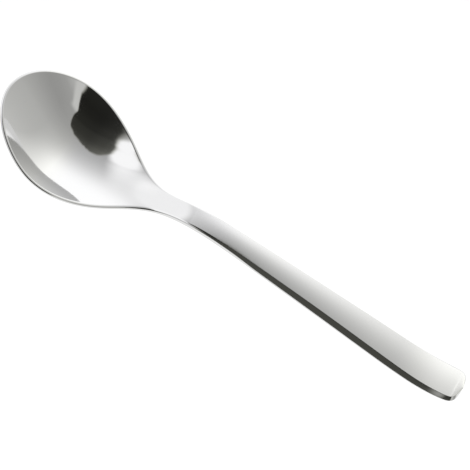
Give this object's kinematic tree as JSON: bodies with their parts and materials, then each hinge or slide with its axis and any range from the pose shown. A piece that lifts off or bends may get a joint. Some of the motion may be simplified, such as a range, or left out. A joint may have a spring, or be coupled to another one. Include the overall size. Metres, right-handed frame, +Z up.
{
  "type": "soup spoon",
  "caption": "Stainless steel soup spoon with a deep egg-shaped mirror-polished bowl and a low-arched satin handle that widens to a squared end.",
  "frame": {"origin": "on the table that the spoon rests on, halfway along the spoon and under its middle line", "axes": "+X from the tip of the bowl to the end of the handle, +Y across the spoon, +Z up out of the open bowl"},
  "size_m": [0.185, 0.0468, 0.0172],
  "materials": {
    "mirror_steel": "mirror polished, with fine wiping marks",
    "satin_steel": "satin, brushed along its length"
  },
  "bodies": {
    "root": {"bowl": "mirror_steel", "handle": "satin_steel"}
  },
  "joints": []
}
